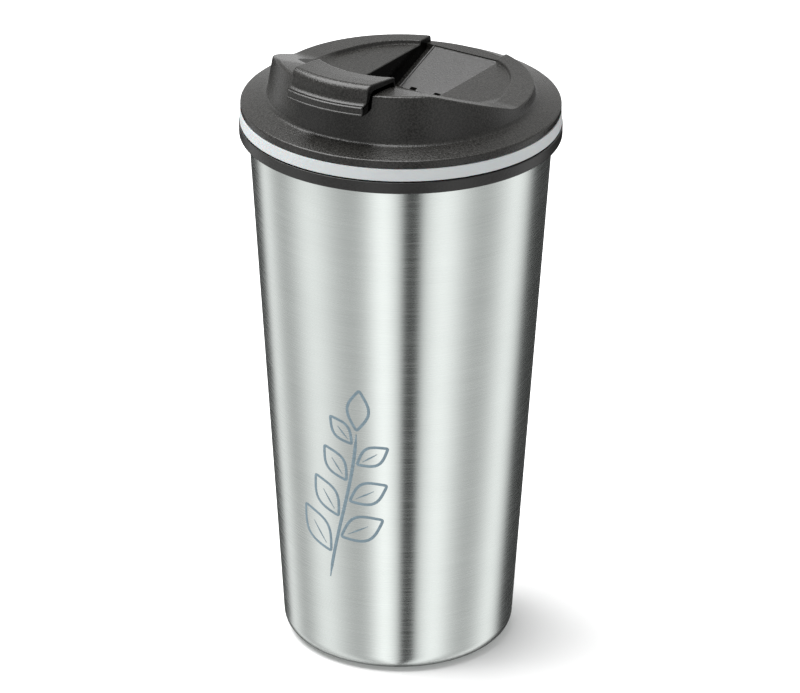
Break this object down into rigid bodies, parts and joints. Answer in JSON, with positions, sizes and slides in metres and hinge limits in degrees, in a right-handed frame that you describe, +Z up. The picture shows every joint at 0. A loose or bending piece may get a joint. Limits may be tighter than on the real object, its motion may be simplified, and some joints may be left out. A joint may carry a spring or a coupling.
{
  "type": "insulated travel mug",
  "caption": "Tapered steel travel mug with vacuum walls, a light seal ring and a dark screw lid whose raised lip carries a fold-back sip flap.",
  "frame": {"origin": "centre of the foot, on the plane that the mug stands on", "axes": "+Z up along the mug's axis, -Y towards the drinking side, +Y towards the back of the lid, +X to the right of the drinker's view"},
  "size_m": [0.0908, 0.0908, 0.1826],
  "materials": {
    "brushed_steel": "stainless steel brushed around the cup, bright satin",
    "plain_steel": "plain stainless steel, fine satin",
    "seal_glass": "fused sealing glass, grey",
    "dark_plastic": "warm dark grey moulded plastic with a fine grain",
    "light_silicone": "pale blue-grey silicone, matt",
    "clear_silicone": "milky silicone, matt"
  },
  "bodies": {
    "mug": {"outer_shell": "brushed_steel", "inner_vessel": "plain_steel", "outer_bottom": "plain_steel", "bottom_cover": "brushed_steel", "vacuum_seal_bead": "seal_glass", "getter_capsule": "plain_steel", "neck_collar": "dark_plastic", "collar_gasket": "clear_silicone"},
    "seal": {"lid_seal_ring": "light_silicone"},
    "lid": {"lid_shell": "dark_plastic", "channel_insert": "dark_plastic", "hinge_pin": "plain_steel", "lid_plug": "dark_plastic", "duct_gasket": "clear_silicone"},
    "flap": {"flap": "dark_plastic", "sip_stopper": "clear_silicone", "vent_stopper": "clear_silicone"}
  },
  "joints": [
    {"name": "lid_lift", "type": "slide", "parent": "mug", "child": "seal", "axis": [0, 0, 1], "range_m": [0, 0.0302]},
    {"name": "lid_turn", "type": "hinge", "parent": "seal", "child": "lid", "pos_m": [0, 0, 0.158], "axis": [0, 0, 1], "range_deg": [0, 1080]},
    {"name": "flap_hinge", "type": "hinge", "parent": "lid", "child": "flap", "pos_m": [0, 0.009, 0.161], "axis": [-1, 0, 0], "range_deg": [0, 115]}
  ],
  "couplings": [
    {"joint": "lid_lift", "follows": "lid_turn", "m_per_rad": 0.0015915}
  ]
}
